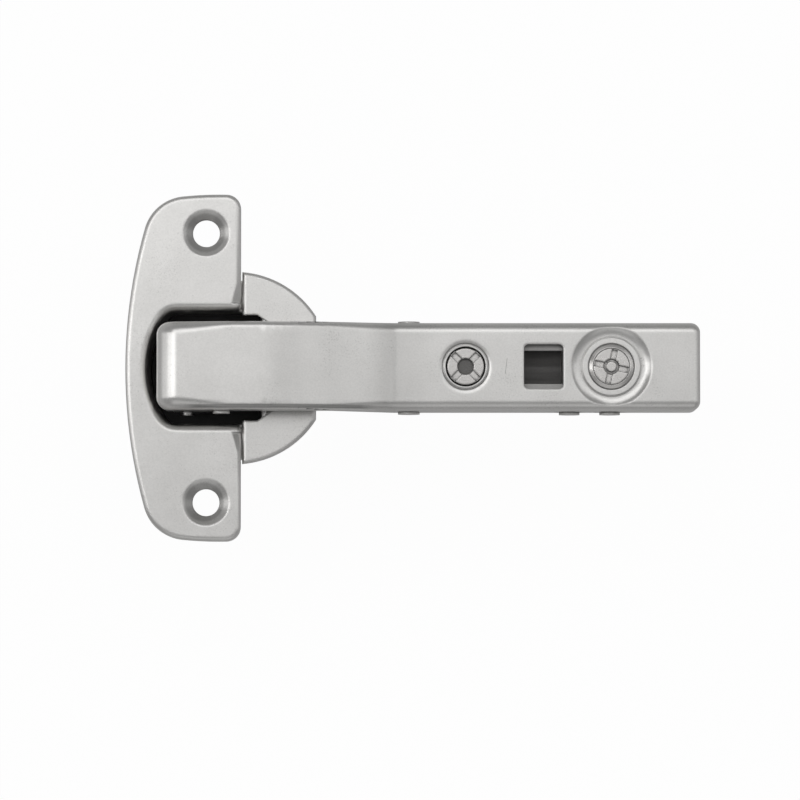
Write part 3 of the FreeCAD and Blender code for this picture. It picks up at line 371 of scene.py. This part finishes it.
def cornerNormals(form):
    # each flat counts with its whole area, so it stays flat up to its edges and bends stay smooth
    flatOf, flats = gatherFlats(form)
    limit = math.cos(math.radians(shading["sharpAngle"]))
    tiny = shading["speck"] * mm * mm
    normals = {}
    for vertex in form.verts:
        waiting = set(vertex.link_faces)
        while waiting:
            fan = [waiting.pop()]
            for face in fan:
                area, normal = flats[flatOf[face.index]]
                for edge in face.edges:
                    if vertex not in edge.verts:
                        continue
                    for other in edge.link_faces:
                        otherArea, otherNormal = flats[flatOf[other.index]]
                        smooth = normal.dot(otherNormal) > limit or min(area, otherArea) < tiny
                        if other in waiting and smooth:
                            waiting.discard(other)
                            fan.append(other)
            mean = Vector()
            for number in {flatOf[face.index] for face in fan}:
                mean += flats[number][0] * flats[number][1]
            for face in fan:
                normals[face.index, vertex.index] = mean.normalized()
    return [normals[face.index, loop.vert.index] for face in form.faces for loop in face.loops]


armEdge = {
    # rolled long edges of the arm in mm: the radius is largest at the nose and smallest before the crank
    "along": (-6.0, 6.0, 21.0, 36.0), "radius": (2.5, 1.15, 1.15, 1.8),
    "halfWidth": 8.45, "roll": 1.8, "nose": {"tip": -9.3, "round": 4.2, "top": 11.4},
    # how far the wall gives way below the roll, and what still counts as lying on a flat
    "wallSpan": 2.2, "flat": 0.12,
    # extra cuts across the arm, so that the roll can change between them
    "from": -10.5, "to": 36.0, "step": 1.5, "snap": 0.0005,
    # the roll's zone, in shares of its radius
    "outside": 1.05, "core": 0.85,
}


def between(x, places, values):
    # eases from one value to the next along the places
    for low, high, first, last in zip(places, places[1:], values, values[1:]):
        if x <= high:
            share = min(max((x - low) / (high - low), 0.0), 1.0)
            return first + (last - first) * share * share * (3.0 - 2.0 * share)
    return values[-1]


def armSkin(x, z, top):
    # the point on the arm's outer profile next to x, z, the depth below it and the way out
    nose = armEdge["nose"]
    middle = Vector((nose["tip"] + nose["round"], nose["top"] - nose["round"]))
    if x >= middle.x:
        return Vector((x, top)), top - z, Vector((0.0, 1.0))
    if z < middle.y:
        return Vector((nose["tip"], z)), x - nose["tip"], Vector((-1.0, 0.0))
    outward = (Vector((x, z)) - middle).normalized()
    skin = middle + outward * nose["round"]
    return skin, (skin - Vector((x, z))).length, outward


def cutAcross(form, look):
    cut = look["from"]
    while cut <= look["to"]:
        whole = form.verts[:] + form.edges[:] + form.faces[:]
        bmesh.ops.bisect_plane(form, geom=whole, dist=look["snap"] * mm,
                               plane_co=(cut * mm, 0.0, 0.0), plane_no=(1.0, 0.0, 0.0))
        cut += look["step"]


def ridgeOf(form):
    # the arm's highest point at each place along it
    ridge = {}
    for vertex in form.verts:
        key, z = round(vertex.co.x / mm, 3), vertex.co.z / mm
        ridge[key] = max(ridge.get(key, z), z)
    return ridge


def rollArmEdges(form):
    look = armEdge
    roll = look["roll"]
    cutAcross(form, look)
    ridge = ridgeOf(form)
    for vertex in form.verts:
        x, y, z = (value / mm for value in vertex.co)
        if x > look["to"]:
            continue
        inward = look["halfWidth"] - abs(y)
        skin, depth, outward = armSkin(x, z, ridge[round(x, 3)])
        radius = between(x, look["along"], look["radius"])
        if depth < look["flat"] and inward > roll:  # on the top, which gets narrower or wider
            share = (look["halfWidth"] - inward) / (look["halfWidth"] - roll)
            vertex.co.y -= math.copysign((radius - roll) * share * mm, y)
            continue
        below = depth - roll
        if inward < look["flat"] and 0.0 < below < look["wallSpan"]:  # on the wall, just below the roll
            spot = skin - outward * (depth + (radius - roll) * (1.0 - below / look["wallSpan"]))
            vertex.co = Vector((spot.x, vertex.co.y / mm, spot.y)) * mm
            continue
        core = math.hypot(roll - inward, roll - depth)
        if max(inward, depth) > look["outside"] * roll or core < look["core"] * roll:
            continue
        spot = skin - outward * depth * radius / roll
        side = math.copysign(look["halfWidth"] - inward * radius / roll, y)
        vertex.co = Vector((spot.x, side, spot.y)) * mm


dish = {"foot": 6.85, "newFoot": 6.1, "floor": 5.1, "close": 0.06}  # radii and height in mm


def easeDish(form):
    # the stamped dish under the depth cam runs down in a flatter slope than the solid's cone
    across = [vertex.co.x for vertex in frame["nodes"]["depth_cam"].data.vertices]
    middle = (min(across) + max(across)) / 2
    for vertex in form.verts:
        run = math.hypot(vertex.co.x - middle, vertex.co.y) / mm
        if abs(run - dish["foot"]) < dish["close"] and abs(vertex.co.z / mm - dish["floor"]) < dish["close"]:
            vertex.co.x = middle + (vertex.co.x - middle) * dish["newFoot"] / run
            vertex.co.y *= dish["newFoot"] / run


def dressNode(node, material):
    # a merged copy of the CAD node, so that its bends shade as smooth metal
    source = frame["nodes"][node]
    mesh = bpy.data.meshes.new(node + "Metal")
    form = bmesh.new()
    form.from_mesh(source.data)
    bmesh.ops.remove_doubles(form, verts=form.verts, dist=shading["merge"] * mm)
    bmesh.ops.dissolve_degenerate(form, edges=form.edges, dist=shading["collapse"] * mm)
    if node == "hinge_arm":
        rollArmEdges(form)
        easeDish(form)
    form.faces.index_update()
    form.verts.index_update()
    form.normal_update()
    normals = cornerNormals(form)
    form.to_mesh(mesh)
    form.free()
    mesh.materials.clear()
    mesh.materials.append(material)
    mesh.shade_smooth()
    mesh.normals_split_custom_set(normals)
    piece = bpy.data.objects.new(node + "Piece", mesh)
    scene.collection.objects.link(piece)
    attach(piece, bodyOf[node])
    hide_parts(node)
    return piece


nodeFinish = {
    "hinge_cup": cupNickel, "hinge_arm": armNickel, "middle_rivet": nickelPlatedSteel,
    "arm_pin_front": nickelPlatedSteel, "arm_pin_rear": nickelPlatedSteel, "cup_pin_inner": nickelPlatedSteel,
    "cup_pin_outer": nickelPlatedSteel, "guide_pin": nickelPlatedSteel, "latch_pin": nickelPlatedSteel,
    "overlay_collar": ringNickel, "depth_collar": ringNickel, "overlay_screw": overlayNickel,
    "depth_cam": camNickel, "carrier": zincPlate, "inner_lever": zincPlate, "outer_lever": zincPlate,
    "clip_latch": darkSteel, "latch_spring": springStrip, "closing_spring": springStrip,
    "cup_insert": blackAcetal,
}
pieces = [dressNode(node, material) for node, material in nodeFinish.items()]
print("nodes dressed:", len(pieces))


# floor, world, lamps and camera

studio = {
    # size in metres; the drop in mm leaves room for the opened cup
    "floorSize": 6.0, "floorDrop": 34.0, "floorColour": "#D2D2D2",
    # share and strength of the floor's white, as the camera sees it, and how much of it metal mirrors
    "floorWhite": 0.93, "floorGlow": 1.03, "floorMirrored": 0.05,
    # the world's strength for all but the camera, which sees it at 1
    "worldGlow": 0.36, "sky": "#FFFFFF",
}


def makeFloor():
    form = bmesh.new()
    bmesh.ops.create_grid(form, x_segments=1, y_segments=1, size=studio["floorSize"] / 2)
    bmesh.ops.translate(form, verts=form.verts, vec=(0, 0, cadLow[2] - studio["floorDrop"] * mm))
    mesh = bpy.data.meshes.new("studioFloor")
    form.to_mesh(mesh)
    form.free()
    floor = bpy.data.objects.new("studioFloor", mesh)
    scene.collection.objects.link(floor)
    material = bpy.data.materials.new("paleFloorBoard")
    tree = emptyTree(material)
    matt = addNode(tree, "ShaderNodeBsdfDiffuse", inputs={"Color": hexToLinear(studio["floorColour"])})
    glow = addNode(tree, "ShaderNodeEmission", inputs={"Strength": studio["floorGlow"]})
    path = addNode(tree, "ShaderNodeLightPath")
    mirrored = maths(tree, "MULTIPLY", path.outputs["Is Glossy Ray"], studio["floorMirrored"])
    seen = maths(tree, "MAXIMUM", path.outputs["Is Camera Ray"], mirrored)
    share = maths(tree, "MULTIPLY", seen, studio["floorWhite"])
    mix = addNode(tree, "ShaderNodeMixShader", links={1: (matt, 0), 2: (glow, 0)})
    tree.links.new(share, mix.inputs[0])
    addNode(tree, "ShaderNodeOutputMaterial", links={"Surface": (mix, 0)})
    mesh.materials.append(material)


def makeWorld():
    world = bpy.data.worlds.new("paleStudio")
    scene.world = world
    tree = emptyTree(world)
    path = addNode(tree, "ShaderNodeLightPath")
    strength = addNode(tree, "ShaderNodeMapRange", inputs={"To Min": studio["worldGlow"], "To Max": 1.0},
                       links={"Value": (path, "Is Camera Ray")})
    back = addNode(tree, "ShaderNodeBackground", inputs={"Color": hexToLinear(studio["sky"])},
                   links={"Strength": (strength, "Result")})
    addNode(tree, "ShaderNodeOutputWorld", links={"Surface": (back, "Background")})


lamps = {
    # name: place, aimed-at point, width and height in metres, watts
    "overheadSoftbox": ((-0.30, 0.63, 1.35), (-0.30, 0.63, 0.0), (1.1, 1.1), 4.55),
    "rightSoftbox": ((0.75, 0.38, 1.15), (0.03, 0.12, 0.0), (0.9, 1.1), 2.1),
    "leftSoftbox": ((-0.62, 0.05, 0.92), (0.0, 0.0, 0.0), (0.30, 0.8), 1.25),
    "leftFill": ((-1.05, 0.05, 0.35), (0.0, 0.0, 0.0), (0.5, 0.9), 0.9),
    "rightFill": ((1.15, 0.05, 0.40), (0.03, 0.0, 0.0), (0.5, 0.9), 0.35),
    "frontFill": ((0.03, -0.85, 0.65), (0.03, 0.0, 0.0), (1.2, 0.7), 0.75),
}


def makeLamp(name, place, target, spread, watts):
    light = bpy.data.lights.new(name, "AREA")
    light.shape = "RECTANGLE"
    light.size, light.size_y = spread
    light.energy = watts
    lamp = bpy.data.objects.new(name, light)
    scene.collection.objects.link(lamp)
    lamp.location = place
    lamp.rotation_euler = (Vector(target) - Vector(place)).to_track_quat("-Z", "Y").to_euler()


# lengths in mm; span is what the square picture shows at the centre, tilt leans the camera to the front
view = {
    "centre": (37.4, -6.3, 3.0), "distance": 1050.0, "span": 154.0, "tilt": 2.8, "sensor": 36.0, "near": 10.0,
}


def makeCamera():
    data = bpy.data.cameras.new("photoCamera")
    data.sensor_width = view["sensor"]
    data.lens = view["sensor"] * view["distance"] / view["span"]
    data.clip_start = view["near"] * mm
    camera = bpy.data.objects.new("photoCamera", data)
    scene.collection.objects.link(camera)
    tilt = math.radians(view["tilt"])
    centre = Vector(view["centre"]) * mm
    camera.location = centre + Vector((0, -math.sin(tilt), math.cos(tilt))) * view["distance"] * mm
    camera.rotation_euler = (tilt, 0.0, 0.0)
    scene.camera = camera


makeFloor()
makeWorld()
for lampName, (place, target, spread, watts) in lamps.items():
    makeLamp(lampName, place, target, spread, watts)
makeCamera()
print("studio ready")

bpy.context.view_layer.update()
